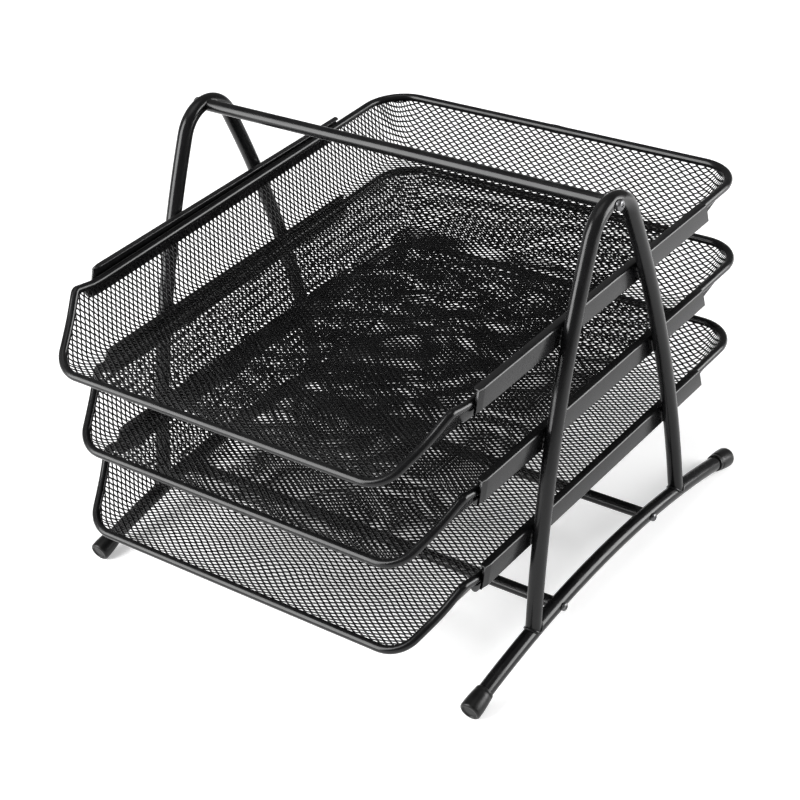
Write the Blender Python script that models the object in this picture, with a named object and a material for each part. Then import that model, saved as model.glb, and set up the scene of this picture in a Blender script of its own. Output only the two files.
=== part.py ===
"""Three-tier letter tray: two bowed A-frames on arched base bars, a handle bar, two cross bars, six channel rails and
three wire-rimmed mesh trays that slide forward out of their rails. Lengths below are millimetres; the model is metres.
+X is the user's right, -Y is the open front, +Z is up, and the rubber feet stand on z = 0."""

import math

import bmesh
import bpy
from mathutils import Matrix, Vector

# --- driving dimensions, millimetres ---
TUBE_R = 4.8  # side frames and base bars
BAR_R = 3.8  # handle and cross bars
FRAME_X = 144.8  # centre plane of each side frame
APEX_Z = 258.4  # centreline at the top of the arch
APEX_R = 22.8
LEG_TOP_DEG = 24.5  # leg's lean from vertical just under the arch
FOOT_Y = 83.8  # where a leg meets the base bar
BASE_END_Y = 147.5  # end of the base bar, inside its cap
BASE_MID_Z = 24.2
BASE_END_Z = 6.3
CAP_R, CAP_BORE_R, CAP_LEN, CAP_BORE = 6.6, 5.1, 16.5, 12.6
HANDLE_Z = 257.6
CROSS_FRONT_Y, CROSS_REAR_Y = -58.0, 46.5
SCREW_HEAD_R, SCREW_HEAD_H, SCREW_SHANK_R, SCREW_HOLE_R, SCREW_LEN = 2.7, 1.8, 1.2, 1.6, 17.0
HANDLE_SCREW_HEAD_R, HANDLE_SCREW_HEAD_H = 3.4, 2.4
GAP = 0.3  # between neighbouring pieces
RAIL_OUT_X = 139.7
RAIL_T = 0.8
RAIL_TOP_Z = 202.6
RAIL_H = 13.4
RAIL_TOP_FLANGE, RAIL_LOW_FLANGE = 5.2, 3.6
RAIL_Y0, RAIL_Y1 = -125.5, 123.5  # ends of the lower edge
RAIL_SLANT_FRONT, RAIL_SLANT_REAR = 4.3, 4.0  # how much the upper edge falls short of the lower
RAIL_LEAD, RAIL_LEAD_IN = 4.5, 0.9  # front end of the web bent inwards
PITCH = 57.7  # from one tray to the next
TRAY_SHIFT = (0.0, 7.5, 4.1)  # how far back each tray stands against the upper one
RIM_X = 134.4
RIM_Z = 198.3  # edge wire of a level tray
RIM_LOW, RIM_LEAN = 4.3, 0.0158  # the wire's front corners lie lower and it rises this much for each unit back
RIM_R = 2.6
RIM_BACK_Y = 176.4
RIM_CORNER_R = 26.0
FRONT_CORNER_Y = -141.6
FRONT_SLOPE = 1.308  # forward run of the front wire for each unit of drop
LIP_DROP = 30.0
LIP_CORNER_R = 20.0
FRONT_BEND_R = 4.5
WALL_SLOPE = 0.594  # inward run of a wall for each unit of drop
FLOOR_DROP = 33.0
FOLD_R = 8.0
SHEET_T = 0.8
RUNNER_T, RUNNER_Z0, RUNNER_Z1 = 1.2, 190.0, 195.4
RUNNER_Y0, RUNNER_Y1 = -134.0, 112.0
TUBE_SIDES, WIRE_SIDES = 16, 10

for o in list(bpy.data.objects):
    bpy.data.objects.remove(o)


def material(name, colour, roughness, metallic):
    m = bpy.data.materials.new(name)
    m.use_nodes = True
    p = m.node_tree.nodes["Principled BSDF"]
    p.inputs["Base Color"].default_value = (*colour, 1)
    p.inputs["Roughness"].default_value = roughness
    p.inputs["Metallic"].default_value = metallic
    m.diffuse_color = (*colour, 1)
    return m


def new_object(name, bm, mat, smooth=False, parent=None):
    """Object from a bmesh whose coordinates are millimetres in the world frame."""
    bmesh.ops.remove_doubles(bm, verts=bm.verts, dist=1e-4)
    bmesh.ops.recalc_face_normals(bm, faces=bm.faces)
    origin = Vector(parent.location) if parent else Vector()
    for v in bm.verts:
        v.co = v.co * 0.001 - origin
    for f in bm.faces:
        f.smooth = smooth
    mesh = bpy.data.meshes.new(name)
    bm.to_mesh(mesh)
    bm.free()
    mesh.materials.append(mat)
    o = bpy.data.objects.new(name, mesh)
    bpy.context.scene.collection.objects.link(o)
    if parent:
        o.parent = parent
    return o


def sweep(path, radius, sides, closed=False):
    """Round bar along a list of points, its rings carried along without twist; open ends are capped flat."""
    path = [Vector(p) for p in path]
    n = len(path)
    bm = bmesh.new()
    tangents = []
    for i in range(n):
        if closed:
            a, b = path[i - 1], path[(i + 1) % n]
            t = (path[i] - a).normalized() + (b - path[i]).normalized()
        elif i == 0:
            t = path[1] - path[0]
        elif i == n - 1:
            t = path[-1] - path[-2]
        else:
            t = (path[i] - path[i - 1]).normalized() + (path[i + 1] - path[i]).normalized()
        tangents.append(t.normalized())
    side = tangents[0].orthogonal().normalized()
    if abs(tangents[0].z) < 0.99:
        side = tangents[0].cross(Vector((0, 0, 1))).normalized()
    frames = [side]
    for i in range(1, n):
        s = frames[-1] - tangents[i] * frames[-1].dot(tangents[i])
        frames.append(s.normalized())
    turn = 0.0
    if closed:
        last = frames[-1] - tangents[0] * frames[-1].dot(tangents[0])
        last.normalize()
        turn = math.atan2(last.cross(frames[0]).dot(tangents[0]), last.dot(frames[0]))
    rings = []
    for i in range(n):
        t, s = tangents[i], frames[i]
        if closed:
            s = Matrix.Rotation(turn * i / n, 3, t) @ s
        u = t.cross(s).normalized()
        ring = []
        for k in range(sides):
            a = 2 * math.pi * (k + 0.5) / sides
            ring.append(bm.verts.new(path[i] + (s * math.cos(a) + u * math.sin(a)) * radius))
        rings.append(ring)
    count = n if closed else n - 1
    for i in range(count):
        a, b = rings[i], rings[(i + 1) % n]
        for k in range(sides):
            bm.faces.new((a[k], a[(k + 1) % sides], b[(k + 1) % sides], b[k]))
    if not closed:
        bm.faces.new(list(reversed(rings[0])))
        bm.faces.new(rings[-1])
    return bm


def arc(centre, radius, a0, a1, steps):
    """Points in a plane, as (first, second) coordinates; angles in degrees."""
    out = []
    for i in range(steps + 1):
        a = math.radians(a0 + (a1 - a0) * i / steps)
        out.append((centre[0] + radius * math.cos(a), centre[1] + radius * math.sin(a)))
    return out


def round_corner(a, corner, b, radius, steps):
    """Points of the arc that rounds the corner of a-corner-b, in space."""
    a, corner, b = Vector(a), Vector(corner), Vector(b)
    u, v = (a - corner).normalized(), (b - corner).normalized()
    angle = u.angle(v)
    t = radius / math.tan(angle / 2)
    centre = corner + (u + v).normalized() * radius / math.sin(angle / 2)
    p, q = corner + u * t - centre, corner + v * t - centre
    axis = p.cross(q).normalized()
    sweep_angle = p.angle(q)
    return [centre + Matrix.Rotation(sweep_angle * i / steps, 3, axis) @ p for i in range(steps + 1)]


def cut(target, cutter):
    """Exact boolean difference, applied, with the cutter removed."""
    m = target.modifiers.new("cut", "BOOLEAN")
    m.operation = "DIFFERENCE"
    m.solver = "EXACT"
    m.object = cutter
    cutter.hide_render = True
    cutter.display_type = "WIRE"
    bpy.context.view_layer.update()
    graph = bpy.context.evaluated_depsgraph_get()
    mesh = bpy.data.meshes.new_from_object(target.evaluated_get(graph), depsgraph=graph)
    target.modifiers.clear()
    target.data = mesh
    bpy.data.objects.remove(cutter)


def bar_along_x(y, z, x0, x1, radius, sides):
    return sweep([(x0, y, z), (x1, y, z)], radius, sides)


black_paint = material("black_powder_coat", (0.018, 0.018, 0.019), 0.42, 0.0)
rail_paint = material("rail_powder_coat", (0.026, 0.026, 0.028), 0.45, 0.0)
mesh_paint = material("mesh_powder_coat", (0.015, 0.015, 0.016), 0.5, 0.0)
rubber = material("black_rubber", (0.012, 0.012, 0.012), 0.75, 0.0)
screw_steel = material("blackened_screw_steel", (0.05, 0.05, 0.052), 0.35, 0.9)


# --- side frames: one bent tube each, an arch with two outward-bowed legs ---
def leg_points(steps):
    """Centreline (y, z) of the rear leg from the arch down to its foot, along a single arc."""
    a = math.radians(LEG_TOP_DEG)
    top = Vector((APEX_R * math.cos(a), APEX_Z - APEX_R + APEX_R * math.sin(a)))
    foot = Vector((FOOT_Y, base_z(FOOT_Y)))
    chord = foot - top
    lean = math.atan2(chord.x, -chord.y)
    half = a - lean
    radius = chord.length / 2 / math.sin(half)
    out = []
    for i in range(steps + 1):
        d = a - 2 * half * i / steps
        out.append((top.x + radius * (math.cos(d) - math.cos(a)), top.y - radius * (math.sin(a) - math.sin(d))))
    return out


def frame_path():
    rear = leg_points(12)
    crown = arc((0, APEX_Z - APEX_R), APEX_R, LEG_TOP_DEG, 180 - LEG_TOP_DEG, 12)
    return [(y, z) for y, z in reversed(rear)][:-1] + crown + [(-y, z) for y, z in rear][1:]


def base_z(y):
    """Centreline height of a base bar: a shallow arch through its middle and its ends."""
    sag = BASE_MID_Z - BASE_END_Z
    radius = (BASE_END_Y**2 + sag**2) / (2 * sag)
    return BASE_MID_Z - radius + math.sqrt(radius**2 - y**2)


def base_bar(side, radius=TUBE_R):
    steps = 24
    pts = [(side * FRAME_X, y, base_z(y)) for y in (BASE_END_Y * (2 * i / steps - 1) for i in range(steps + 1))]
    return sweep(pts, radius, TUBE_SIDES)


def foot_cap(side, end):
    """Rubber cup on a base bar's end, spun about the bar's own direction and moulded flat where it stands."""
    y = end * BASE_END_Y
    slope = math.atan((base_z(abs(y)) - base_z(abs(y) - 0.5)) / 0.5)
    direction = Vector((0, end * math.cos(slope), math.sin(slope)))
    tip = CAP_LEN - CAP_BORE
    profile = [(-CAP_BORE, CAP_BORE_R), (-CAP_BORE, CAP_R - 0.5), (-CAP_BORE + 0.6, CAP_R)]
    profile += [(tip - 2.2, CAP_R), (tip - 0.9, CAP_R - 0.5), (tip - 0.2, CAP_R - 1.5), (tip, CAP_R - 2.8), (tip, 0)]
    profile += [(GAP, 0), (GAP, CAP_BORE_R)]
    bm = bmesh.new()
    verts = [bm.verts.new((r, 0, a)) for a, r in profile]
    edges = [bm.edges.new((verts[i], verts[i + 1])) for i in range(len(verts) - 1)]
    edges.append(bm.edges.new((verts[-1], verts[0])))
    bmesh.ops.spin(bm, geom=verts + edges, axis=(0, 0, 1), cent=(0, 0, 0), angle=2 * math.pi, steps=20)
    bmesh.ops.remove_doubles(bm, verts=bm.verts, dist=1e-3)
    bmesh.ops.dissolve_degenerate(bm, edges=bm.edges, dist=1e-3)
    turn = Vector((0, 0, 1)).rotation_difference(direction).to_matrix().to_4x4()
    place = Matrix.Translation((side * FRAME_X, y, base_z(abs(y)))) @ turn
    bmesh.ops.transform(bm, matrix=place, verts=bm.verts)
    cutting = bmesh.ops.bisect_plane(
        bm, geom=bm.verts[:] + bm.edges[:] + bm.faces[:], dist=1e-5, plane_co=(0, 0, 0), plane_no=(0, 0, -1), clear_outer=True
    )
    rim = [e for e in cutting["geom_cut"] if isinstance(e, bmesh.types.BMEdge)]
    if rim:
        bmesh.ops.contextual_create(bm, geom=rim)
    return bm


def screw(side, y, z, head_r, head_h):
    """Round-headed screw through a frame tube into the end of the bar behind it."""
    bm = bmesh.new()
    seat = FRAME_X + TUBE_R + GAP
    profile = [(seat - SCREW_LEN, 0), (seat - SCREW_LEN, SCREW_SHANK_R), (seat, SCREW_SHANK_R), (seat, head_r)]
    for i in range(1, 4):
        a = math.radians(22.5 * i)
        profile.append((seat + head_h * math.sin(a), head_r * math.cos(a)))
    profile.append((seat + head_h, 0))
    verts = [bm.verts.new((side * x, 0, r)) for x, r in profile]
    edges = [bm.edges.new((verts[i], verts[i + 1])) for i in range(len(verts) - 1)]
    bmesh.ops.spin(bm, geom=verts + edges, axis=(1, 0, 0), cent=(0, 0, 0), angle=2 * math.pi, steps=16)
    bmesh.ops.remove_doubles(bm, verts=bm.verts, dist=1e-3)
    bmesh.ops.translate(bm, vec=(0, y, z), verts=bm.verts)
    return bm


def box(x0, x1, y0, y1, z0, z1):
    bm = bmesh.new()
    bmesh.ops.create_cube(bm, size=1)
    bmesh.ops.scale(bm, vec=(x1 - x0, y1 - y0, z1 - z0), verts=bm.verts)
    bmesh.ops.translate(bm, vec=((x0 + x1) / 2, (y0 + y1) / 2, (z0 + z1) / 2), verts=bm.verts)
    return bm


CROSSES = (("front", CROSS_FRONT_Y), ("rear", CROSS_REAR_Y))
for side, word in ((1, "right"), (-1, "left")):
    path = [(side * FRAME_X, y, z) for y, z in frame_path()]
    legs = new_object(f"{word}_side_frame", sweep(path, TUBE_R, TUBE_SIDES), black_paint, True)
    cut(legs, new_object("saddle", base_bar(side, TUBE_R + GAP), black_paint))
    bar = new_object(f"{word}_base_bar", base_bar(side), black_paint, True)
    for where, y in CROSSES:
        hole = bar_along_x(y, base_z(abs(y)), side * (FRAME_X - 8), side * (FRAME_X + 8), SCREW_HOLE_R, 10)
        cut(bar, new_object("hole", hole, black_paint))
    for end, where in ((-1, "front"), (1, "rear")):
        new_object(f"{word}_{where}_foot_cap", foot_cap(side, end), rubber, True)
    hole = bar_along_x(0, HANDLE_Z, side * (FRAME_X - 8), side * (FRAME_X + 8), SCREW_HOLE_R, 10)
    cut(legs, new_object("hole", hole, black_paint))
    fixings = [(f"{word}_{where}_screw", y, base_z(abs(y)), SCREW_HEAD_R, SCREW_HEAD_H) for where, y in CROSSES]
    fixings.append((f"{word}_handle_screw", 0, HANDLE_Z, HANDLE_SCREW_HEAD_R, HANDLE_SCREW_HEAD_H))
    for name, y, z, head_r, head_h in fixings:
        fixing = new_object(name, screw(side, y, z, head_r, head_h), screw_steel)
        crown = FRAME_X + TUBE_R + GAP + head_h
        half, thin = head_r * 0.58, head_r * 0.12
        for wide, tall in ((half, thin), (thin, half)):
            slot = box(*sorted((side * (crown - 0.9), side * (crown + 1))), y - wide, y + wide, z - tall, z + tall)
            cut(fixing, new_object("slot", slot, screw_steel))

inner = FRAME_X - TUBE_R - GAP
bars = [(f"{where}_cross_bar", y, base_z(abs(y))) for where, y in CROSSES]
for name, y, z in [("handle_bar", 0, HANDLE_Z)] + bars:
    bar = new_object(name, bar_along_x(y, z, -inner, inner, BAR_R, TUBE_SIDES), black_paint, True)
    for side in (1, -1):
        hole = bar_along_x(y, z, side * (inner - 9.5), side * (inner + 3), SCREW_HOLE_R, 10)
        cut(bar, new_object("hole", hole, black_paint))


# --- rails: an inward-open channel, its ends cut on a slant and its web's front end bent in as a lead ---
def rail(side, drop):
    top, low = RAIL_TOP_Z - drop, RAIL_TOP_Z - RAIL_H - drop
    out, t, r = RAIL_OUT_X, RAIL_T, 0.6

    def section(y, slant, lead):
        web = out - lead
        outline = [
            (out - RAIL_TOP_FLANGE, top), (web - r, top), (web, top - r), (web, low + r), (web - r, low), (out - RAIL_LOW_FLANGE, low),
            (out - RAIL_LOW_FLANGE, low + t), (web - t, low + t), (web - t, top - t), (out - RAIL_TOP_FLANGE, top - t),
        ]
        return [(x, y + slant * (z - low) / RAIL_H, z) for x, z in outline]

    stations = [section(RAIL_Y0, RAIL_SLANT_FRONT, RAIL_LEAD_IN), section(RAIL_Y0 + RAIL_LEAD, RAIL_SLANT_FRONT, 0.0), section(RAIL_Y1, -RAIL_SLANT_REAR, 0.0)]
    bm = bmesh.new()
    rings = [[bm.verts.new((side * x, y, z)) for x, y, z in s] for s in stations]
    for a, b in zip(rings, rings[1:]):
        for k in range(len(a)):
            bm.faces.new((a[k], a[(k + 1) % len(a)], b[(k + 1) % len(a)], b[k]))
    bm.faces.new(rings[0])
    bm.faces.new(list(reversed(rings[-1])))
    return bm


# --- trays ---
def rim_shift(y):
    """How far the leaning edge wire is from the level one."""
    return RIM_LEAN * (y - FRONT_CORNER_Y) - RIM_LOW


def lean(p):
    """Point of a level tray moved to the leaning one: the floor stays level and the walls stretch up to the wire."""
    floor = RIM_Z - FLOOR_DROP
    return Vector((p[0], p[1], floor + (p[2] - floor) * (1 + rim_shift(p[1]) / FLOOR_DROP)))


def rim_path():
    """Closed centreline of a tray's edge wire: straight at the sides and back, sloping down and forward to the front lip."""
    lip_z, lip_y = RIM_Z - LIP_DROP, FRONT_CORNER_Y - FRONT_SLOPE * LIP_DROP
    lip_x = RIM_X - WALL_SLOPE * LIP_DROP
    right = []
    corner = Vector((RIM_X, FRONT_CORNER_Y, RIM_Z))
    lip = Vector((lip_x, lip_y, lip_z))
    back = Vector((RIM_X, RIM_BACK_Y, RIM_Z))
    right += round_corner((0, lip_y, lip_z), lip, corner, LIP_CORNER_R, 8)
    right += round_corner(lip, corner, back, FRONT_BEND_R, 4)
    right += [Vector((RIM_X, y, RIM_Z)) for y in (-80, 0, 80)]
    right += round_corner(corner, back, (0, RIM_BACK_Y, RIM_Z), RIM_CORNER_R, 9)
    left = [Vector((-p.x, p.y, p.z)) for p in reversed(right)]
    return [lean(p) for p in right + [Vector((0, RIM_BACK_Y, RIM_Z))] + left + [Vector((0, lip_y, lip_z))]]


def wall_profile():
    """(inward offset, drop) of the sheet's middle from the edge wire's centre to the level floor, folded on a radius."""
    lean = math.atan(WALL_SLOPE)
    turn = math.pi / 2 - lean
    fold = Vector((WALL_SLOPE * FLOOR_DROP, FLOOR_DROP))
    tangent = FOLD_R * math.tan(turn / 2)
    start = fold - Vector((math.sin(lean), math.cos(lean))) * tangent
    first = Vector((math.sin(lean), math.cos(lean))) * (RIM_R + 1.1)
    centre = start + Vector((math.cos(lean), -math.sin(lean))) * FOLD_R
    out = [(first, lean)]
    for i in range(5):
        a = lean + turn * i / 4
        out.append((centre + Vector((-math.cos(a), math.sin(a))) * FOLD_R, a))
    return out


def pan():
    """Sheet pan with sloping sides and back, open at the front where its edge follows the sloping wire."""
    bm = bmesh.new()
    layers = []
    for face in (0.5, -0.5):
        loops = []
        for p, a in wall_profile():
            q = p + Vector((math.cos(a), -math.sin(a))) * SHEET_T * face
            off, drop = q.x, q.y
            z = RIM_Z - drop
            x = RIM_X - off
            y_front = FRONT_CORNER_Y - FRONT_SLOPE * min(drop, LIP_DROP) + 5.8
            radius = RIM_CORNER_R - off
            yb = RIM_BACK_Y - RIM_CORNER_R
            half = [(x, y_front), (x, y_front + 60), (x, 0), (x, 90)]
            half += arc((RIM_X - RIM_CORNER_R, yb), radius, 0, 90, 7)
            pts = half + [(0, yb + radius)] + [(-u, v) for u, v in reversed(half)]
            loops.append([bm.verts.new(lean((u, v, z))) for u, v in pts])
        layers.append(loops)
    for loops, flip in ((layers[0], False), (layers[1], True)):
        for a, b in zip(loops, loops[1:]):
            for k in range(len(a) - 1):
                quad = (a[k], a[k + 1], b[k + 1], b[k])
                bm.faces.new(quad if not flip else tuple(reversed(quad)))
        bm.faces.new(loops[-1])
    top, low = layers
    for k in range(len(top[0]) - 1):
        bm.faces.new((top[0][k], top[0][k + 1], low[0][k + 1], low[0][k]))
    for end in (0, -1):
        for i in range(len(top) - 1):
            bm.faces.new((top[i][end], top[i + 1][end], low[i + 1][end], low[i][end]))
    bm.faces.new((top[-1][0], top[-1][-1], low[-1][-1], low[-1][0]))
    return bm


def runner(side):
    """Strip hanging under the edge wire, just inside the rail's lower flange, rounded at its front end."""
    x0, x1 = RIM_X - RUNNER_T / 2 + 0.4, RIM_X + RUNNER_T / 2 + 0.4
    h = RUNNER_Z1 - RUNNER_Z0
    outline = [(RUNNER_Y1, RUNNER_Z1), (RUNNER_Y0, RUNNER_Z1)]
    outline += arc((RUNNER_Y0 + h, RUNNER_Z1), h, 180, 270, 5)[1:]
    outline += arc((RUNNER_Y1 - 3, RUNNER_Z0 + 3), 3, 270, 360, 3)
    bm = bmesh.new()
    a = [bm.verts.new((side * x0, y, z + rim_shift(y))) for y, z in outline]
    b = [bm.verts.new((side * x1, y, z + rim_shift(y))) for y, z in outline]
    n = len(a)
    for k in range(n):
        bm.faces.new((a[k], a[(k + 1) % n], b[(k + 1) % n], b[k]))
    bm.faces.new(list(reversed(a)))
    bm.faces.new(b)
    return bm


for level, word in enumerate(("upper", "middle", "lower")):
    drop = PITCH * level
    for side, hand in ((1, "right"), (-1, "left")):
        new_object(f"{word}_{hand}_rail", rail(side, drop), rail_paint)
    axis = bpy.data.objects.new(f"{word}_tray_slide", None)
    axis.location = (0, 0, (RIM_Z - drop) * 0.001)
    bpy.context.scene.collection.objects.link(axis)
    move = Matrix.Translation((0, TRAY_SHIFT[level], -drop))
    made = [("rim_wire", sweep(rim_path(), RIM_R, WIRE_SIDES, closed=True), black_paint, True), ("mesh_pan", pan(), mesh_paint, False)]
    made += [(f"{hand}_runner", runner(side), rail_paint, False) for side, hand in ((1, "right"), (-1, "left"))]
    for piece, bm, mat, smooth in made:
        bmesh.ops.transform(bm, matrix=move, verts=bm.verts)
        new_object(f"{word}_tray_{piece}", bm, mat, smooth, parent=axis)
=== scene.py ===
"""The looks of a three-tier letter tray: bent tubes with welded feet, folded channel rails, moulded rubber feet, screws with
cross recesses and three trays of real expanded metal, all in satin black powder coat. Lengths are millimetres until a mesh is made."""

import math

import bmesh
import bpy
import numpy as np
from mathutils import Matrix, Vector


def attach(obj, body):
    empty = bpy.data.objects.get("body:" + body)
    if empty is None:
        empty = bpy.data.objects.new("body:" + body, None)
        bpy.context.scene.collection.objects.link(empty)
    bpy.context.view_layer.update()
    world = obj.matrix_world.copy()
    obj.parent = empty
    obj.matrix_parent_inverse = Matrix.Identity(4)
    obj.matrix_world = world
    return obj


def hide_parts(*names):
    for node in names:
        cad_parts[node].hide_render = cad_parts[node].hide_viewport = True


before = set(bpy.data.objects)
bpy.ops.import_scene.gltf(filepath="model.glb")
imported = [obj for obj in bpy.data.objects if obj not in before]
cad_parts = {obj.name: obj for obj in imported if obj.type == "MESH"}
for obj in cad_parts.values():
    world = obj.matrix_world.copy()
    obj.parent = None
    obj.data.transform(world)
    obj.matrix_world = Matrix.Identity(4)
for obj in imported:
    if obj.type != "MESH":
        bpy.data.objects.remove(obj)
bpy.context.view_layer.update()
rng = np.random.default_rng(7)

# --- dimensions shared with the frame, millimetres ---
TUBE_R, BAR_R = 4.8, 3.8
FRAME_X, APEX_Z, APEX_R, LEG_TOP_DEG, FOOT_Y = 144.8, 258.4, 22.8, 24.5, 83.8
BASE_END_Y, BASE_MID_Z, BASE_END_Z = 147.5, 24.2, 6.3
CAP_R, CAP_BORE_R, CAP_LEN, CAP_BORE = 6.6, 4.9, 16.5, 12.6
HANDLE_Z = 257.6
CROSSES = (("front", -58.0), ("rear", 46.5))
RAIL_OUT_X, RAIL_T, RAIL_TOP_Z, RAIL_H = 139.7, 0.8, 202.6, 13.4
RAIL_TOP_FLANGE, RAIL_LOW_FLANGE = 5.2, 3.6
RAIL_Y0, RAIL_Y1, RAIL_SLANT_FRONT, RAIL_SLANT_REAR = -125.5, 123.5, 4.3, 4.0
RAIL_LEAD, RAIL_LEAD_IN = 4.5, 0.9
PITCH, TRAY_SHIFT = 57.7, (0.0, 7.5, 4.1)
RIM_X, RIM_Z, RIM_R, RIM_BACK_Y, RIM_CORNER_R = 134.4, 198.3, 2.6, 176.4, 26.0
FRONT_CORNER_Y, FRONT_SLOPE, LIP_DROP, LIP_CORNER_R, FRONT_BEND_R = -141.6, 1.308, 30.0, 20.0, 4.5
WALL_SLOPE, FLOOR_DROP, FOLD_R = 0.594, 33.0, 8.0
RIM_LOW, RIM_LEAN = 4.3, 0.0158  # the edge wire falls towards the front
CORNER_LIFT = 3.0  # and kicks up again at its front corners
RUNNER_T, RUNNER_Z0, RUNNER_Y0, RUNNER_Y1 = 1.2, 190.0, -134.0, 112.0
# --- the expanded metal ---
LONG_WAY, SHORT_WAY = 5.9, 3.85  # one diamond, across the tray and along it
STRAND_W, STRAND_T, STRAND_LEAN = 0.98, 0.6, 0.22


# ------------------------------------------------------------------ meshes
def make(name, verts, faces, mat, body, replaces=(), slot=None, sharp=38.0, move=(0, 0, 0)):
    """A piece of the object from points in millimetres and its faces."""
    co = (np.asarray(verts, float) + np.asarray(move, float)) * 0.001
    me = bpy.data.meshes.new(name)
    me.from_pydata(co.tolist(), [], [tuple(int(i) for i in f) for f in faces])
    bm = bmesh.new()
    bm.from_mesh(me)
    bmesh.ops.recalc_face_normals(bm, faces=bm.faces)
    bm.to_mesh(me)
    bm.free()
    return finish_piece(name, me, mat, body, replaces, sharp)


def finish_piece(name, me, mat, body, replaces=(), sharp=38.0):
    me.polygons.foreach_set("use_smooth", [True] * len(me.polygons))
    me.set_sharp_from_angle(angle=math.radians(sharp))
    me.materials.clear()
    me.materials.append(mat)
    o = bpy.data.objects.new(name, me)
    bpy.context.scene.collection.objects.link(o)
    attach(o, body)
    if replaces:
        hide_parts(*replaces)
    return o


class Parts:
    """Gathers several shells into one piece."""

    def __init__(self):
        self.v, self.f, self.n = [], [], 0

    def add(self, shell):
        v, f = shell
        v = np.asarray(v, float)
        self.v.append(v)
        self.f += [tuple(int(i) + self.n for i in face) for face in f]
        self.n += len(v)
        return self

    def shell(self):
        return np.concatenate(self.v), self.f


def unit(v):
    return v / np.maximum(np.linalg.norm(v, axis=-1, keepdims=True), 1e-12)


def sweep(path, radius, sides=28, closed=False, squash=None):
    """Round bar along a line of points, its rings carried along without twist. radius is one number or one for each point."""
    p = np.asarray(path, float)
    n = len(p)
    r = np.broadcast_to(np.asarray(radius, float), (n,))
    if closed:
        t = unit(np.roll(p, -1, 0) - p) + unit(p - np.roll(p, 1, 0))
    else:
        d = unit(np.diff(p, axis=0))
        t = np.vstack([d[:1], d[1:] + d[:-1], d[-1:]])
    t = unit(t)
    s = np.cross(t[0], (0, 0, 1.0))
    if np.linalg.norm(s) < 0.2:
        s = np.cross(t[0], (1.0, 0, 0))
    s = unit(s)
    frames = [s]
    for i in range(1, n):
        s = s - t[i] * (s @ t[i])
        s = unit(s)
        frames.append(s)
    frames = np.array(frames)
    turn = 0.0
    if closed:
        last = unit(frames[-1] - t[0] * (frames[-1] @ t[0]))
        turn = math.atan2(np.cross(last, frames[0]) @ t[0], last @ frames[0])
    a = 2 * np.pi * np.arange(sides) / sides
    rings = []
    for i in range(n):
        u = np.cross(t[i], frames[i])
        ang = a + (turn * i / n if closed else 0.0)
        rings.append(p[i] + r[i] * (np.outer(np.cos(ang), frames[i]) + np.outer(np.sin(ang), u)))
    v = np.concatenate(rings)
    f = []
    for i in range(n if closed else n - 1):
        b, c = i * sides, ((i + 1) % n) * sides
        f += [(b + k, b + (k + 1) % sides, c + (k + 1) % sides, c + k) for k in range(sides)]
    if not closed:
        f += [tuple(range(sides))[::-1], tuple(range((n - 1) * sides, n * sides))]
    return v, f


def revolve(profile, origin, axis, segs=40):
    """Solid of revolution from (along, radius) points; ends on the axis close it, a closed ring of points makes a cup."""
    axis = unit(np.asarray(axis, float))
    s = unit(np.cross(axis, (0, 0, 1.0) if abs(axis[2]) < 0.9 else (1.0, 0, 0)))
    u = np.cross(axis, s)
    origin = np.asarray(origin, float)
    v, f, rows = [], [], []
    for along, r in profile:
        if r < 1e-6:
            rows.append([len(v)] * segs)
            v.append(origin + axis * along)
        else:
            rows.append(list(range(len(v), len(v) + segs)))
            for k in range(segs):
                a = 2 * math.pi * k / segs
                v.append(origin + axis * along + (s * math.cos(a) + u * math.sin(a)) * r)
    pairs = list(zip(rows, rows[1:]))
    if profile[0][1] > 1e-6 and profile[-1][1] > 1e-6:
        pairs.append((rows[-1], rows[0]))
    for a, b in pairs:
        for k in range(segs):
            k2 = (k + 1) % segs
            face = []
            for i in (a[k], a[k2], b[k2], b[k]):
                if i not in face:
                    face.append(i)
            if len(face) > 2:
                f.append(tuple(face))
    return np.array(v), f


def arc2(centre, radius, a0, a1, steps):
    a = np.radians(np.linspace(a0, a1, steps + 1))
    return [(centre[0] + radius * math.cos(x), centre[1] + radius * math.sin(x)) for x in a]


def round_corner(a, corner, b, radius, steps):
    a, corner, b = (Vector(q) for q in (a, corner, b))
    u, v = (a - corner).normalized(), (b - corner).normalized()
    angle = u.angle(v)
    t = radius / math.tan(angle / 2)
    centre = corner + (u + v).normalized() * radius / math.sin(angle / 2)
    p, q = corner + u * t - centre, corner + v * t - centre
    axis = p.cross(q).normalized()
    whole = p.angle(q)
    return [centre + Matrix.Rotation(whole * i / steps, 3, axis) @ p for i in range(steps + 1)]


def dense(points, step):
    """The same line with no stretch longer than step."""
    out = [np.array(points[0], float)]
    for a, b in zip(points, points[1:]):
        a, b = np.array(a, float), np.array(b, float)
        n = max(1, int(math.ceil(np.linalg.norm(b - a) / step)))
        out += [a + (b - a) * i / n for i in range(1, n + 1)]
    return np.array(out)


# ------------------------------------------------------------------ materials
def socket(node, name):
    return node.inputs[name]


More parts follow.
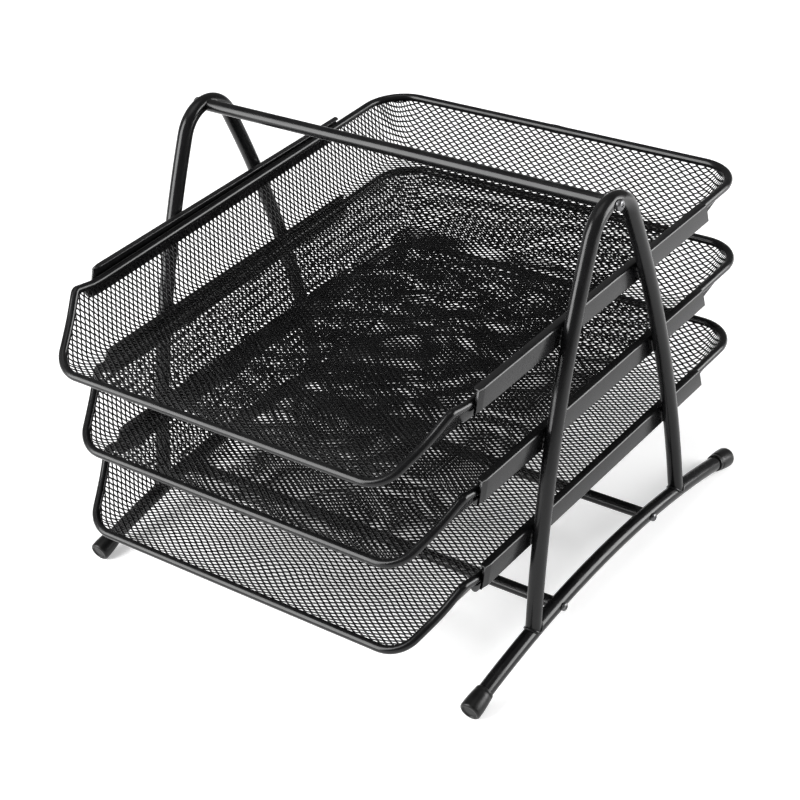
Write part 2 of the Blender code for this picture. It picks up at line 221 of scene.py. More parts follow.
class Mat:
    """A Principled material with helpers that add and link nodes."""

    def __init__(self, name):
        self.m = bpy.data.materials.new(name)
        self.m.use_nodes = True
        self.t = self.m.node_tree
        self.p = self.t.nodes["Principled BSDF"]
        self.co = self.new("ShaderNodeTexCoord").outputs["Object"]

    def new(self, kind, **values):
        n = self.t.nodes.new(kind)
        for k, v in values.items():
            setattr(n, k, v)
        return n

    def link(self, a, b):
        self.t.links.new(a, b)

    def noise(self, scale, detail=2.0, rough=0.5, stretch=None):
        n = self.new("ShaderNodeTexNoise")
        n.inputs["Scale"].default_value = scale
        n.inputs["Detail"].default_value = detail
        n.inputs["Roughness"].default_value = rough
        if stretch:
            m = self.new("ShaderNodeMapping")
            m.inputs["Scale"].default_value = stretch
            self.link(self.co, m.inputs["Vector"])
            self.link(m.outputs["Vector"], n.inputs["Vector"])
        else:
            self.link(self.co, n.inputs["Vector"])
        return n.outputs["Fac"]

    def ramp(self, fac, low, high, a=0.0, b=1.0):
        """fac from low..high mapped to a..b, held at the ends."""
        n = self.new("ShaderNodeMapRange")
        n.clamp = True
        for k, v in (("From Min", low), ("From Max", high), ("To Min", a), ("To Max", b)):
            n.inputs[k].default_value = v
        self.link(fac, n.inputs["Value"])
        return n.outputs["Result"]

    def mul(self, a, b, op="MULTIPLY"):
        n = self.new("ShaderNodeMath", operation=op)
        for i, x in enumerate((a, b)):
            if isinstance(x, (int, float)):
                n.inputs[i].default_value = x
            else:
                self.link(x, n.inputs[i])
        return n.outputs["Value"]

    def mix(self, fac, a, b):
        n = self.new("ShaderNodeMix", data_type="RGBA")
        self.link(fac, n.inputs["Factor"])
        for s, x in ((n.inputs[6], a), (n.inputs[7], b)):
            if isinstance(x, tuple):
                s.default_value = (*x, 1)
            else:
                self.link(x, s)
        return n.outputs[2]

    def bump(self, height, distance, strength=1.0, after=None):
        n = self.new("ShaderNodeBump")
        n.inputs["Strength"].default_value = strength
        n.inputs["Distance"].default_value = distance
        self.link(height, n.inputs["Height"])
        if after is not None:
            self.link(after, n.inputs["Normal"])
        return n.outputs["Normal"]


def powder_coat(name, dark, light, rough=(0.36, 0.5), peel=0.000012, wear=0.0, coat=0.0, dust=0.35):
    """Satin powder coat: fine orange peel, broad tone and gloss drift, a little dust on what faces up, and rubbed edges."""
    m = Mat(name)
    tone = m.noise(38.0, 4.0, 0.6)
    colour = m.mix(m.ramp(tone, 0.35, 0.65), dark, light)
    speck = m.ramp(m.noise(900.0, 2.0, 0.5), 0.66, 0.74)
    colour = m.mix(m.mul(speck, 0.35), colour, tuple(min(1, c * 2.2) for c in light))
    geo = m.new("ShaderNodeNewGeometry")
    up = m.new("ShaderNodeSeparateXYZ")
    m.link(geo.outputs["Normal"], up.inputs["Vector"])
    dusty = m.mul(m.ramp(up.outputs["Z"], 0.55, 1.0), m.ramp(m.noise(60.0, 5.0, 0.7), 0.42, 0.72))
    colour = m.mix(m.mul(dusty, dust), colour, (0.05, 0.049, 0.047))
    if wear:
        edge = m.ramp(geo.outputs["Pointiness"], 0.53, 0.60)
        edge = m.mul(edge, m.ramp(m.noise(220.0, 3.0, 0.6), 0.46, 0.6))
        colour = m.mix(m.mul(edge, wear), colour, (0.16, 0.16, 0.165))
    m.link(colour, m.p.inputs["Base Color"])
    gloss = m.ramp(m.noise(95.0, 3.0, 0.55), 0.3, 0.7, rough[0], rough[1])
    m.link(m.mul(gloss, m.mul(dusty, 0.12), "ADD"), m.p.inputs["Roughness"])
    m.link(m.bump(m.noise(1300.0, 2.0, 0.5), peel), m.p.inputs["Normal"])
    m.p.inputs["Specular IOR Level"].default_value = 0.25
    m.p.inputs["Coat Weight"].default_value = coat
    m.p.inputs["Coat Roughness"].default_value = 0.3
    return m.m


def rubber():
    m = Mat("moulded_rubber")
    grain = m.noise(700.0, 4.0, 0.65)
    scuff = m.ramp(m.noise(160.0, 5.0, 0.7, (1.0, 0.35, 1.0)), 0.55, 0.72)
    colour = m.mix(m.ramp(m.noise(55.0, 3.0), 0.35, 0.65), (0.004, 0.004, 0.004), (0.009, 0.009, 0.009))
    colour = m.mix(m.mul(scuff, 0.3), colour, (0.03, 0.029, 0.028))
    m.link(colour, m.p.inputs["Base Color"])
    m.link(m.ramp(grain, 0.3, 0.7, 0.27, 0.4), m.p.inputs["Roughness"])
    m.link(m.bump(grain, 0.00003), m.p.inputs["Normal"])
    m.p.inputs["Specular IOR Level"].default_value = 0.2
    return m.m


def screw_metal():
    m = Mat("blackened_screw")
    colour = m.mix(m.ramp(m.noise(260.0, 4.0, 0.6), 0.35, 0.7), (0.06, 0.06, 0.062), (0.16, 0.16, 0.163))
    geo = m.new("ShaderNodeNewGeometry")
    edge = m.ramp(geo.outputs["Pointiness"], 0.52, 0.58)
    colour = m.mix(m.mul(edge, 0.5), colour, (0.3, 0.3, 0.31))
    m.link(colour, m.p.inputs["Base Color"])
    m.link(m.ramp(m.noise(500.0, 3.0), 0.3, 0.7, 0.26, 0.42), m.p.inputs["Roughness"])
    m.link(m.bump(m.noise(1600.0, 2.0), 0.000008), m.p.inputs["Normal"])
    m.p.inputs["Metallic"].default_value = 0.9
    return m.m


TUBE_PAINT = powder_coat("tube_powder_coat", (0.003, 0.003, 0.0033), (0.006, 0.006, 0.0064), (0.16, 0.26), wear=0.25, dust=0.1)
SHEET_PAINT = powder_coat("sheet_powder_coat", (0.005, 0.005, 0.0053), (0.009, 0.009, 0.0094), (0.15, 0.25), wear=0.5, dust=0.1)
MESH_PAINT = powder_coat("mesh_powder_coat", (0.003, 0.003, 0.0033), (0.006, 0.006, 0.0064), (0.22, 0.32), peel=0.000006, dust=0.06)
WELD_PAINT = powder_coat("weld_powder_coat", (0.003, 0.003, 0.0033), (0.007, 0.007, 0.0074), (0.2, 0.32), peel=0.00003, dust=0.1)
RUBBER, SCREW = rubber(), screw_metal()


# ------------------------------------------------------------------ frame: tubes
def base_z(y):
    sag = BASE_MID_Z - BASE_END_Z
    radius = (BASE_END_Y**2 + sag**2) / (2 * sag)
    return BASE_MID_Z - radius + np.sqrt(radius**2 - np.asarray(y, float) ** 2)


def leg_points(steps):
    a = math.radians(LEG_TOP_DEG)
    top = np.array((APEX_R * math.cos(a), APEX_Z - APEX_R + APEX_R * math.sin(a)))
    foot = np.array((FOOT_Y, float(base_z(FOOT_Y))))
    chord = foot - top
    lean = math.atan2(chord[0], -chord[1])
    half = a - lean
    radius = np.linalg.norm(chord) / 2 / math.sin(half)
    d = a - 2 * half * np.arange(steps + 1) / steps
    return np.stack([top[0] + radius * (np.cos(d) - math.cos(a)), top[1] - radius * (math.sin(a) - np.sin(d))], 1)


def leg_at(z):
    """(y, dy/dz) of the rear leg's centreline at a height."""
    p = leg_points(200)
    y = np.interp(z, p[::-1, 1], p[::-1, 0])
    y2 = np.interp(z + 1.0, p[::-1, 1], p[::-1, 0])
    return float(y), float(y2 - y)


def frame_path(side):
    rear = leg_points(60)
    crown = np.array(arc2((0, APEX_Z - APEX_R), APEX_R, LEG_TOP_DEG, 180 - LEG_TOP_DEG, 40))
    yz = np.vstack([rear[::-1][:-1], crown, (rear * (-1, 1))[1:]])
    return np.column_stack([np.full(len(yz), side * FRAME_X), yz])


def lumpy(n, size, seed):
    """A slowly wandering radius for a hand-laid bead."""
    r = np.random.default_rng(seed)
    x = np.linspace(0, 1, n)
    out = np.ones(n)
    for k in range(3, 12, 2):
        out += size / k * np.cos(2 * np.pi * (k * x + r.random()))
    return out


def foot_weld(side, end):
    """Bead where a leg stands on the base bar: follows the saddle between the two tubes."""
    y, slope = leg_at(float(base_z(FOOT_Y)) + 8)
    down = unit(np.array((0, end * -slope, -1.0)))
    foot = np.array((side * FRAME_X, end * FOOT_Y, float(base_z(FOOT_Y))))
    across = unit(np.cross(down, (1.0, 0, 0)))
    ring = []
    for k in range(64):
        a = 2 * math.pi * k / 64
        start = foot - down * 14 + (np.array((1.0, 0, 0)) * math.cos(a) + across * math.sin(a)) * (TUBE_R + 0.1)
        lo, hi = 0.0, 22.0
        for _ in range(24):
            mid = (lo + hi) / 2
            q = start + down * mid
            s = math.atan((float(base_z(q[1] + 0.5)) - float(base_z(q[1] - 0.5))))
            height = (q[2] - float(base_z(q[1]))) * math.cos(s)
            if math.hypot(q[0] - side * FRAME_X, height) > TUBE_R + 0.15 and height > 0:
                lo = mid
            else:
                hi = mid
        ring.append(start + down * lo)
    ring = np.array(ring)
    for _ in range(2):
        ring = (np.roll(ring, 1, 0) + ring * 2 + np.roll(ring, -1, 0)) / 4
    return sweep(ring, 0.95 * lumpy(64, 0.35, int(50 + side * 3 + end)), 10, closed=True)


def rail_weld(side, z_mid, end, flank, seed):
    """Short bead along one flank of a leg where it crosses a rail."""
    n = 16
    z = np.linspace(z_mid - 4.6, z_mid + 4.6, n)
    pts = []
    for k in z:
        y, _ = leg_at(k)
        pts.append((side * (RAIL_OUT_X + 0.35), end * y + flank * 2.5, k))
    taper = np.sqrt(np.clip(1 - np.linspace(-1, 1, n) ** 2, 0.02, 1))
    return sweep(pts, 1.25 * taper * lumpy(n, 0.5, seed), 10)


for side, word in ((1, "right"), (-1, "left")):
    make(f"{word}_frame_tube", *sweep(frame_path(side), TUBE_R, 40), TUBE_PAINT, "frame", [f"{word}_side_frame"], "black_paint")
    ys = np.linspace(-BASE_END_Y, BASE_END_Y, 90)
    bar = sweep(np.column_stack([np.full(90, side * FRAME_X), ys, base_z(ys)]), TUBE_R, 40)
    make(f"{word}_base_tube", *bar, TUBE_PAINT, "frame", [f"{word}_base_bar"], "black_paint")
    welds = Parts()
    for end in (1, -1):
        welds.add(foot_weld(side, end))
        for level in range(3):
            for flank in (1, -1):
                z_mid = RAIL_TOP_Z - RAIL_H / 2 - PITCH * level
                welds.add(rail_weld(side, z_mid, end, flank, int(10 * level + 3 * flank + end + 40)))
    make(f"{word}_weld_beads", *welds.shell(), WELD_PAINT, "frame", slot="black_paint", sharp=60)

reach = FRAME_X - math.sqrt(TUBE_R**2 - BAR_R**2) + 0.4
for name, y, z in [("handle_bar", 0.0, HANDLE_Z)] + [(f"{w}_cross_bar", y, float(base_z(y))) for w, y in CROSSES]:
    xs = np.linspace(-reach, reach, 60)
    make(f"{name}_tube", *sweep(np.column_stack([xs, np.full(60, y), np.full(60, z)]), BAR_R, 36), TUBE_PAINT, "frame", [name], "black_paint")


# ------------------------------------------------------------------ frame: rubber feet
def foot_cap(side, end):
    y = end * BASE_END_Y
    slope = math.atan((float(base_z(BASE_END_Y)) - float(base_z(BASE_END_Y - 0.5))) / 0.5)
    axis = np.array((0, end * math.cos(slope), math.sin(slope)))
    tip = CAP_LEN - CAP_BORE
    outer = [(-CAP_BORE, CAP_BORE_R), (-CAP_BORE - 0.05, 5.3), (-CAP_BORE + 0.05, 5.5), (-CAP_BORE + 0.35, 5.62), (-CAP_BORE + 0.8, 5.68)]
    outer += [(-CAP_BORE + 1.9, 5.78), (-CAP_BORE + 2.15, 5.66), (-CAP_BORE + 2.5, 5.67), (-CAP_BORE + 2.75, 5.86)]
    outer += [(-7.5, 6.1), (-5.0, 6.33), (-2.5, 6.5), (0.0, CAP_R - 0.02), (tip - 1.5, CAP_R - 0.02)]
    outer += [(tip - 1.5 + 1.5 * math.sin(a), CAP_R - 0.02 - 1.5 * (1 - math.cos(a))) for a in np.radians((15, 30, 45, 60, 75, 90))]
    outer += [(tip - 0.05, 4.85), (tip - 0.25, 4.65), (tip - 0.6, 4.5), (tip - 0.7, 4.2), (tip - 0.7, 2.4), (tip - 0.65, 1.0)]
    profile = [(-CAP_BORE, CAP_BORE_R)] + outer[1:] + [(tip - 0.65, 0.0)]
    inner = [(0.4, 0.0), (0.4, CAP_BORE_R)]
    v, f = revolve(profile + inner + [(-CAP_BORE, CAP_BORE_R)], (side * FRAME_X, y, float(base_z(BASE_END_Y))), axis, 48)
    return v, f


for side, word in ((1, "right"), (-1, "left")):
    for end, where in ((-1, "front"), (1, "rear")):
        v, f = foot_cap(side, end)
        me = bpy.data.meshes.new("cap")
        me.from_pydata((v * 0.001).tolist(), [], f)
        bm = bmesh.new()
        bm.from_mesh(me)
        bmesh.ops.remove_doubles(bm, verts=bm.verts, dist=1e-6)
        bmesh.ops.recalc_face_normals(bm, faces=bm.faces)
        cutting = bmesh.ops.bisect_plane(bm, geom=bm.verts[:] + bm.edges[:] + bm.faces[:], dist=1e-7, plane_co=(0, 0, 0), plane_no=(0, 0, -1), clear_outer=True)
        rim = [e for e in cutting["geom_cut"] if isinstance(e, bmesh.types.BMEdge)]
        if rim:
            bmesh.ops.contextual_create(bm, geom=rim)
        bm.to_mesh(me)
        bm.free()
        finish_piece(f"{word}_{where}_rubber_foot", me, RUBBER, "frame", [f"{word}_{where}_foot_cap"], 50)


# ------------------------------------------------------------------ frame: screws
def screw(name, node, side, y, z, head_r, head_h):
    """Pan-headed screw with a tapered cross recess; its thread is inside the bar and only the shank is made."""
    seat = side * (FRAME_X + TUBE_R - 0.15)
    profile = [(-15.0, 0.0), (-15.0, 1.2), (0.0, 1.2), (0.0, head_r - 0.15), (0.12, head_r)]
    profile += [(0.35 * head_h + 0.65 * head_h * math.sin(a), head_r * (0.42 + 0.58 * math.cos(a))) for a in np.radians((0, 15, 30, 45, 60, 75, 90))]
    profile += [(head_h * 1.01, head_r * 0.2), (head_h * 1.01, 0.0)]
    v, f = revolve(profile, (seat, y, z), (side, 0, 0), 48)
    me = bpy.data.meshes.new(name)
    me.from_pydata((v * 0.001).tolist(), [], f)
    body = bpy.data.objects.new(name + "_work", me)
    bm = bmesh.new()
    for turn in (0, 1):
        wide, thin, deep = head_r * 0.56, head_r * 0.13, head_h * 0.62
        vs = []
        for x, k in ((head_h * 1.02 - deep, 0.55), (head_h * 1.3, 1.0)):
            for a, b in ((1, 1), (-1, 1), (-1, -1), (1, -1)):
                p, q = a * wide * k, b * thin * (0.8 if k < 1 else 1.0)
                if turn:
                    p, q = q, p
                vs.append(bm.verts.new(((seat + side * x) * 0.001, (y + p) * 0.001, (z + q) * 0.001)))
        for face in ((0, 1, 2, 3), (7, 6, 5, 4), (0, 4, 5, 1), (1, 5, 6, 2), (2, 6, 7, 3), (3, 7, 4, 0)):
            bm.faces.new([vs[i] for i in face])
    bmesh.ops.recalc_face_normals(bm, faces=bm.faces)
    cm = bpy.data.meshes.new(name + "_slots")
    bm.to_mesh(cm)
    bm.free()
    cutter = bpy.data.objects.new(name + "_cutter", cm)
    for o in (body, cutter):
        bpy.context.scene.collection.objects.link(o)
    mod = body.modifiers.new("recess", "BOOLEAN")
    mod.operation, mod.solver, mod.object, mod.use_self = "DIFFERENCE", "EXACT", cutter, True
    bpy.context.view_layer.update()
    graph = bpy.context.evaluated_depsgraph_get()
    done = bpy.data.meshes.new_from_object(body.evaluated_get(graph), depsgraph=graph)
    bpy.data.objects.remove(body)
    bpy.data.objects.remove(cutter)
    finish_piece(name, done, SCREW, "frame", [node], 35)


for side, word in ((1, "right"), (-1, "left")):
    for where, y in CROSSES:
        screw(f"{word}_{where}_pan_screw", f"{word}_{where}_screw", side, y, float(base_z(y)), 2.7, 2.1)
    screw(f"{word}_handle_pan_screw", f"{word}_handle_screw", side, 0.0, HANDLE_Z, 3.4, 2.7)


# ------------------------------------------------------------------ rails
def rail(side, drop):
    """Folded channel with real bend radii, slanted ends, rounded flange corners and a lead bent into its front."""
    top, low = RAIL_TOP_Z - drop, RAIL_TOP_Z - RAIL_H - drop
    t, ro, ri = RAIL_T, 1.5, 0.5

    def section(y, slant, lead, short):
        out = RAIL_OUT_X - lead
        a, b = RAIL_OUT_X - RAIL_TOP_FLANGE + short, RAIL_OUT_X - RAIL_LOW_FLANGE + short * 0.8
        pts = arc2((a + 0.35, top - 0.35), 0.35, 180, 90, 2)
        pts += arc2((out - ro, top - ro), ro, 90, 0, 6)
        pts += [(out, top - RAIL_H / 2)]
        pts += arc2((out - ro, low + ro), ro, 0, -90, 6)
        pts += arc2((b + 0.35, low + 0.35), 0.35, 270, 180, 2)
        pts += arc2((b + 0.35, low + t - 0.35), 0.35, 180, 90, 2)
        pts += arc2((out - t - ri, low + t + ri), ri, -90, 0, 4)
        pts += [(out - t, top - RAIL_H / 2)]
        pts += arc2((out - t - ri, top - t - ri), ri, 0, 90, 4)
        pts += arc2((a + 0.35, top - t + 0.35), 0.35, 270, 180, 2)
        return [(side * x, y + slant * (z - low) / RAIL_H, z) for x, z in pts]

    ends = ((0.0, 2.6), (0.35, 1.45), (1.0, 0.65), (1.9, 0.15), (2.8, 0.0))
    stations = []
    for d, short in ends:
        lead = RAIL_LEAD_IN * (1 - d / RAIL_LEAD)
        stations.append(section(RAIL_Y0 + d, RAIL_SLANT_FRONT, lead, short))
    for d, lead in ((RAIL_LEAD - 0.7, 0.16), (RAIL_LEAD - 0.2, 0.06), (RAIL_LEAD + 0.3, 0.015), (RAIL_LEAD + 0.9, 0.0)):
        stations.append(section(RAIL_Y0 + d, RAIL_SLANT_FRONT, lead, 0.0))
    y0, y1 = RAIL_Y0 + RAIL_LEAD + 0.9, RAIL_Y1 - 2.8
    for i in range(1, 40):
        u = i / 40
        stations.append(section(y0 + (y1 - y0) * u, RAIL_SLANT_FRONT * (1 - u) - RAIL_SLANT_REAR * u, 0.0, 0.0))
    for d, short in reversed(ends):
        stations.append(section(RAIL_Y1 - d, -RAIL_SLANT_REAR, 0.0, short))
    n = len(stations[0])
    v = np.array([p for s in stations for p in s])
    f = []
    for i in range(len(stations) - 1):
        a, b = i * n, (i + 1) * n
        f += [(a + k, a + (k + 1) % n, b + (k + 1) % n, b + k) for k in range(n)]
    f += [tuple(range(n))[::-1], tuple(range((len(stations) - 1) * n, len(stations) * n))]
    return v, f


# ------------------------------------------------------------------ trays
def rim_shift(y):
    d = np.asarray(y, float) - FRONT_CORNER_Y
    return RIM_LEAN * d - RIM_LOW + CORNER_LIFT * np.exp(-((d / 10.0) ** 2))


def lean(p):
    """Points of a level tray moved to the leaning one: the floor stays level and the walls stretch up to the wire."""
    p = np.array(p, float)
    floor = RIM_Z - FLOOR_DROP
    p[..., 2] = floor + (p[..., 2] - floor) * (1 + rim_shift(p[..., 1]) / FLOOR_DROP)
    return p


def rim_path():
    lip_z, lip_y = RIM_Z - LIP_DROP, FRONT_CORNER_Y - FRONT_SLOPE * LIP_DROP
    lip_x = RIM_X - WALL_SLOPE * LIP_DROP
    corner, lip, back = Vector((RIM_X, FRONT_CORNER_Y, RIM_Z)), Vector((lip_x, lip_y, lip_z)), Vector((RIM_X, RIM_BACK_Y, RIM_Z))
    right = [Vector((0, lip_y, lip_z))]
    right += round_corner((0, lip_y, lip_z), lip, corner, LIP_CORNER_R, 18)
    right += round_corner(lip, corner, back, FRONT_BEND_R, 10)
    right += round_corner(corner, back, (0, RIM_BACK_Y, RIM_Z), RIM_CORNER_R, 22)
    right += [Vector((0, RIM_BACK_Y, RIM_Z))]
    right = dense(right, 6.0)
    left = right[::-1] * (-1, 1, 1)
    return np.vstack([right, left[1:-1]])


def fold_profile():
    """Tables of inward offset, drop and length along the sheet, from the rim to well inside the floor."""
    lean = math.atan(WALL_SLOPE)
    turn = math.pi / 2 - lean
    fold = np.array((WALL_SLOPE * FLOOR_DROP, FLOOR_DROP))
    tangent = FOLD_R * math.tan(turn / 2)
    start = fold - np.array((math.sin(lean), math.cos(lean))) * tangent
    centre = start + np.array((math.cos(lean), -math.sin(lean))) * FOLD_R
    pts = [np.zeros(2)] + [centre + FOLD_R * np.array((-math.cos(a), math.sin(a))) for a in np.linspace(lean, math.pi / 2, 25)]
    pts.append(pts[-1] + (160.0, 0.0))
    pts = np.array(pts)
    run = np.concatenate([[0], np.cumsum(np.linalg.norm(np.diff(pts, axis=0), axis=1))])
    return pts[:, 0], pts[:, 1], run


OFF, DROP, RUN = fold_profile()
SPAN = float(np.interp(RIM_X, OFF, RUN))  # along the sheet from the rim to the middle of the tray


def plan_offset(x, y):
    """How far inside the rim a point of the plan is, with the rim's rounded back corners."""
    ax = np.abs(x)
    cx, cy = RIM_X - RIM_CORNER_R, RIM_BACK_Y - RIM_CORNER_R
    off = np.minimum(RIM_X - ax, RIM_BACK_Y - y)
    corner = (ax > cx) & (y > cy)
    return np.where(corner, RIM_CORNER_R - np.hypot(ax - cx, y - cy), off)


RIM = rim_path()


def near_rim(x, y):
    """Distance in plan to the edge wire, with the wire's height there; inside the tray is positive."""
    p = np.stack([x, y], -1)
    a, b = RIM, np.roll(RIM, -1, 0)
    best = np.full(len(p), 1e9)
    height = np.zeros(len(p))
    ex, ey = np.zeros(len(p)), np.zeros(len(p))
    inside = np.zeros(len(p), bool)
    for i in range(len(a)):
        ab = b[i, :2] - a[i, :2]
        t = np.clip(((p - a[i, :2]) @ ab) / max(ab @ ab, 1e-9), 0, 1)
        q = a[i, :2] + t[:, None] * ab
        d = np.hypot(*(p - q).T)
        hit = d < best
        best = np.where(hit, d, best)
        height = np.where(hit, a[i, 2] + t * (b[i, 2] - a[i, 2]), height)
        ex, ey = np.where(hit, q[:, 0], ex), np.where(hit, q[:, 1], ey)
        if a[i, 1] != b[i, 1]:
            crosses = (a[i, 1] > p[:, 1]) != (b[i, 1] > p[:, 1])
            at = a[i, 0] + (p[:, 1] - a[i, 1]) * (b[i, 0] - a[i, 0]) / (b[i, 1] - a[i, 1])
            inside ^= crosses & (p[:, 0] < at)
    return np.where(inside, best, -best), height, ex, ey


def sheet(u, v):
    """Where a point of the flat sheet lies once it is pressed into a tray: u across from the middle, v from the back rim forward."""
    s = SPAN - np.abs(u)
    x = np.sign(u) * (RIM_X - np.where(s >= 0, np.interp(np.maximum(s, 0), RUN, OFF), s * 0.51))
    y = RIM_BACK_Y - np.where(v >= 0, np.interp(np.minimum(v, RUN[-1]), RUN, OFF) + np.maximum(v - RUN[-1], 0), v * 0.51)
    z = RIM_Z - np.interp(plan_offset(x, y), OFF, DROP)
    dist, wire_z, ex, ey = near_rim(x, y)
    edge_z = RIM_Z - np.interp(np.maximum(plan_offset(ex, ey), 0), OFF, DROP)
    w = np.clip(1 - dist / 13.0, 0, 1)
    w = w * w * (3 - 2 * w)
    front = y < FRONT_CORNER_Y + 6
    z = z + np.where(front, w * (wire_z - 0.4 - edge_z), 0)
    return lean(np.stack([x, y, z], -1)), dist


def expanded_metal():
    """One sheet of expanded metal: strands that zigzag across the tray, each bonded to its neighbours at the tips."""
    half_l, half_s = LONG_WAY / 2, SHORT_WAY / 2
    swing = (half_s - STRAND_W * 0.62) / 2
    cos = half_l / math.hypot(half_l, 2 * swing)
    v_end = float(np.interp(RIM_BACK_Y - (FRONT_CORNER_Y - FRONT_SLOPE * LIP_DROP), OFF, RUN)) + 2
    if RIM_BACK_Y - (FRONT_CORNER_Y - FRONT_SLOPE * LIP_DROP) > OFF[-1]:
        v_end = RUN[-1] + (RIM_BACK_Y - (FRONT_CORNER_Y - FRONT_SLOPE * LIP_DROP) - OFF[-1]) + 2
    lines = int(v_end / half_s)
    n = int(SPAN / half_l) + 2
    j = np.arange(-n, n + 1)
    verts, faces = [], []
    count = 0
    for k in range(1, lines):
        u = j * half_l
        v = k * half_s + swing * np.where((j + k) % 2 == 0, 1.0, -1.0)
        p, dist = sheet(u, v)
        e = 0.05
        pu = (sheet(u + e, v)[0] - sheet(u - e, v)[0]) / (2 * e)
        pv = (sheet(u, v + e)[0] - sheet(u, v - e)[0]) / (2 * e)
        normal = unit(np.cross(pu, pv))
        normal = np.where(normal[:, 2:3] < 0, -normal, normal)
        pv = unit(pv)
        inside = dist - 0.9
        run = []
        for i in range(len(j)):
            if inside[i] >= 0:
                if not run and i > 0 and inside[i - 1] < 0:
                    t = inside[i] / (inside[i] - inside[i - 1])
                    run.append((p[i] + (p[i - 1] - p[i]) * t, pv[i], normal[i]))
                run.append((p[i], pv[i], normal[i]))
            if run and (inside[i] < 0 or i == len(j) - 1):
                if inside[i] < 0:
                    t = inside[i - 1] / (inside[i - 1] - inside[i])
                    run.append((p[i - 1] + (p[i] - p[i - 1]) * t, pv[i - 1], normal[i - 1]))
                if len(run) > 1:
                    c, w, m = (np.array([r[q] for r in run]) for q in range(3))
                    hw, ht = STRAND_W / 2 / cos, STRAND_T / 2
                    lift = m * STRAND_LEAN * hw
                    ring = np.stack([c + w * hw + lift + m * ht, c + w * hw + lift - m * ht, c - w * hw - lift - m * ht, c - w * hw - lift + m * ht], 1)
                    verts.append(ring.reshape(-1, 3))
                    for a in range(len(run) - 1):
                        b = count + 4 * a
                        faces += [(b, b + 1, b + 5, b + 4), (b + 1, b + 2, b + 6, b + 5), (b + 2, b + 3, b + 7, b + 6), (b + 3, b, b + 4, b + 7)]
                    z = count + 4 * (len(run) - 1)
                    faces += [(count + 3, count + 2, count + 1, count), (z, z + 1, z + 2, z + 3)]
                    count += 4 * len(run)
                run = []
    return np.concatenate(verts), faces


def stretched(shell, seed):
    """The sheet with the slow drift that stretching leaves in its diamonds; it dies away before the folds."""
    v, f = shell
    v = v.copy()
    x, y, z = v.T
    fade = np.clip(np.minimum(106.0 - np.abs(x), np.minimum(y + 170.0, 150.0 - y)) / 28.0, 0, 1)
    fade = fade * fade * (3 - 2 * fade) * (z < RIM_Z - FLOOR_DROP + 1.2)
    g = np.random.default_rng(seed)
    move = np.zeros((len(v), 2))
    for i in range(10):
        rows = i < 4  # some of the drift runs from row to row, the rest every way
        way, wave, phase = g.uniform(1.42, 1.72) if rows else g.uniform(0, math.pi), g.uniform(22, 85), g.uniform(0, 2 * math.pi, 2)
        s = (x * math.cos(way) + y * math.sin(way)) * 2 * math.pi / wave
        move += np.sin(s[:, None] + phase) * wave * (np.array((0.002, 0.007)) if rows else 0.0062)
    v[:, :2] += move * fade[:, None]
    return v, f


def rim_shell():
    """The edge wire, with the slight swelling of its butt weld at the back."""
    r = RIM_R + 0.28 * np.exp(-(((RIM[:, 0]) / 3.2) ** 2)) * (RIM[:, 1] > 100)
    return sweep(lean(RIM), r, 26, closed=True)


def runner(side):
    """Folded strip under the edge wire: two leaves closed on each other with a rounded lower edge and front end."""
    mid = RIM_X + 0.4
    z1 = RIM_Z - 1.0
    outline = []
    h = 5.0
    outline += [(RUNNER_Y1, z1), (RUNNER_Y0 + 1.0, z1), (RUNNER_Y0, z1 - 1.0)]
    outline += [(RUNNER_Y0, RUNNER_Z0 + h)]
    outline += arc2((RUNNER_Y0 + h, RUNNER_Z0 + h), h, 180, 270, 10)[1:]
    outline += [(y, RUNNER_Z0) for y in np.linspace(RUNNER_Y0 + h, RUNNER_Y1 - 3, 30)[1:-1]]
    outline += arc2((RUNNER_Y1 - 3, RUNNER_Z0 + 3), 3, 270, 360, 5)
    outline = np.array(outline)
    centre = outline.mean(0)
    n = len(outline)
    rings = []
    d = unit(np.roll(outline, -1, 0) - np.roll(outline, 1, 0))
    inward = np.stack([d[:, 1], -d[:, 0]], 1)
    inward *= np.sign(((centre - outline) * inward).sum(1))[:, None]
    for x, inset in ((-RUNNER_T / 2, 0.4), (-RUNNER_T / 2 + 0.12, 0.12), (-RUNNER_T / 2 + 0.4, 0.0), (RUNNER_T / 2 - 0.4, 0.0), (RUNNER_T / 2 - 0.12, 0.12), (RUNNER_T / 2, 0.4)):
        yz = outline + inward * inset
        yz[:, 1] += rim_shift(yz[:, 0])
        rings.append(np.column_stack([np.full(n, side * (mid + x)), yz]))
    v = np.concatenate(rings)
    f = []
    for i in range(len(rings) - 1):
        a, b = i * n, (i + 1) * n
        f += [(a + k, a + (k + 1) % n, b + (k + 1) % n, b + k) for k in range(n)]
    f += [tuple(range(n))[::-1], tuple(range((len(rings) - 1) * n, len(rings) * n))]
    return v, f


lattice = expanded_metal()
wire = rim_shell()
for level, word in enumerate(("upper", "middle", "lower")):
    body = f"{word}_tray"
    drop = PITCH * level
    move = (0, TRAY_SHIFT[level], -drop)
    make(f"{word}_expanded_metal", *stretched(lattice, 11 + level), MESH_PAINT, body, [f"{word}_tray_mesh_pan"], "mesh_paint", sharp=80, move=move)
    make(f"{word}_edge_wire", *wire, TUBE_PAINT, body, [f"{word}_tray_rim_wire"], "black_paint", move=move)
    for side, hand in ((1, "right"), (-1, "left")):
        make(f"{word}_{hand}_hem", *runner(side), SHEET_PAINT, body, [f"{word}_tray_{hand}_runner"], "rail_paint", sharp=30, move=move)
        make(f"{word}_{hand}_channel", *rail(side, drop), SHEET_PAINT, "frame", [f"{word}_{hand}_rail"], "rail_paint", sharp=30)


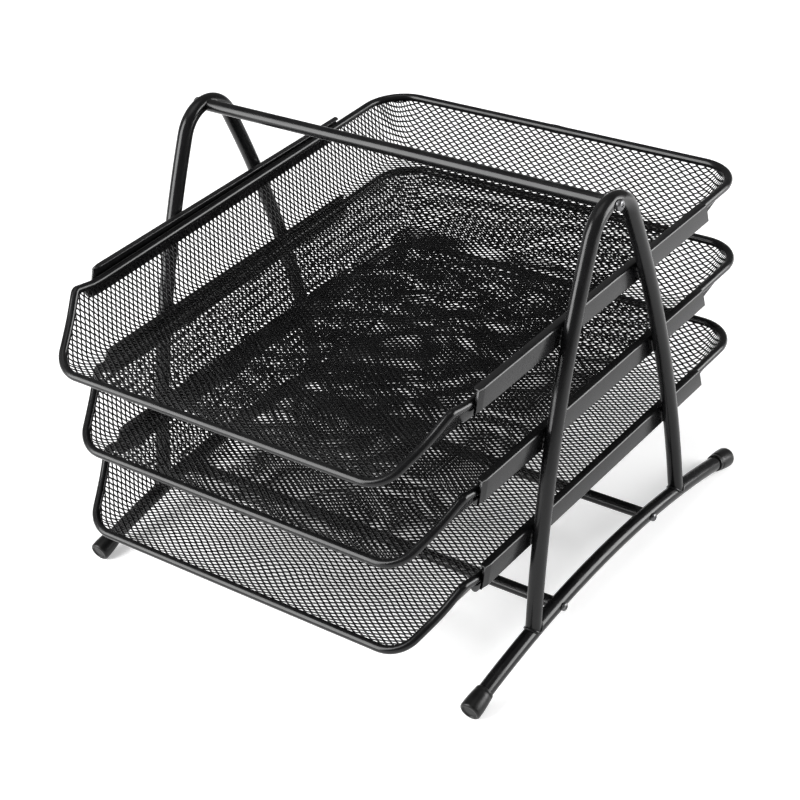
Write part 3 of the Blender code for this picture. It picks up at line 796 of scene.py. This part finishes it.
# ------------------------------------------------------------------ studio
def floor_material():
    m = Mat("studio_floor")
    m.link(m.mix(m.ramp(m.noise(3.0, 3.0), 0.3, 0.7), (0.86, 0.86, 0.86), (0.88, 0.88, 0.88)), m.p.inputs["Base Color"])
    m.p.inputs["Roughness"].default_value = 0.9
    m.p.inputs["Specular IOR Level"].default_value = 0.0
    m.p.inputs["Emission Color"].default_value = (1, 1, 1, 1)
    m.p.inputs["Emission Strength"].default_value = 0.42
    return m.m


fm = bpy.data.meshes.new("studio_floor")
fm.from_pydata([(-9, -9, 0), (9, -9, 0), (9, 9, 0), (-9, 9, 0)], [], [(0, 1, 2, 3)])
fm.materials.append(floor_material())
floor = bpy.data.objects.new("studio_floor", fm)
bpy.context.scene.collection.objects.link(floor)


def area(name, place, aim, wide, high, radiance):
    """Rectangular softbox given by the brightness of its face."""
    light = bpy.data.lights.new(name, "AREA")
    light.shape, light.size, light.size_y = "RECTANGLE", wide, high
    light.energy = math.pi * wide * high * radiance
    o = bpy.data.objects.new(name, light)
    o.location = place
    o.rotation_euler = (Vector(aim) - Vector(place)).to_track_quat("-Z", "Y").to_euler()
    bpy.context.scene.collection.objects.link(o)
    return o


area("softbox_front_left", (-0.87, -1.34, 1.0), (0, 0, 0.9), 1.04, 2.0, 12.0)
area("softbox_back_right", (1.3, 0.95, 0.56), (0.1, 0, 0.42), 1.05, 0.95, 12.5)
area("overhead", (-0.1, -0.1, 2.6), (0, 0, 0.0), 1.6, 1.6, 1.4)

world = bpy.data.worlds.new("studio")
world.use_nodes = True
world.node_tree.nodes["Background"].inputs["Color"].default_value = (1, 1, 1, 1)
world.node_tree.nodes["Background"].inputs["Strength"].default_value = 0.2
scene = bpy.context.scene
scene.world = world
scene.view_settings.view_transform = "Standard"
scene.view_settings.look = "None"

# --- camera: the viewpoint that puts every leg, rail and rim where it is seen ---
PLACE = (0.62549, -0.82057, 0.73242)
AZ, EL, ROLL = 0.7402037, 0.6188258, -0.1128698
look = Vector((-math.sin(AZ) * math.cos(EL), math.cos(AZ) * math.cos(EL), -math.sin(EL)))
right = Vector((math.cos(AZ), math.sin(AZ), 0))
up = right.cross(look)
r2 = right * math.cos(ROLL) + up * math.sin(ROLL)
u2 = up * math.cos(ROLL) - right * math.sin(ROLL)
cam = bpy.data.cameras.new("view")
cam.lens, cam.sensor_width = 36 * 1916.2913 / 800, 36
cam.shift_x, cam.shift_y = (400 - 277.0621) / 800, (526.0151 - 400) / 800
cam.clip_start, cam.clip_end = 0.05, 60
camera = bpy.data.objects.new("view", cam)
camera.matrix_world = Matrix(((r2.x, u2.x, -look.x, PLACE[0]), (r2.y, u2.y, -look.y, PLACE[1]), (r2.z, u2.z, -look.z, PLACE[2]), (0, 0, 0, 1)))
scene.collection.objects.link(camera)
scene.camera = camera

bpy.context.view_layer.update()
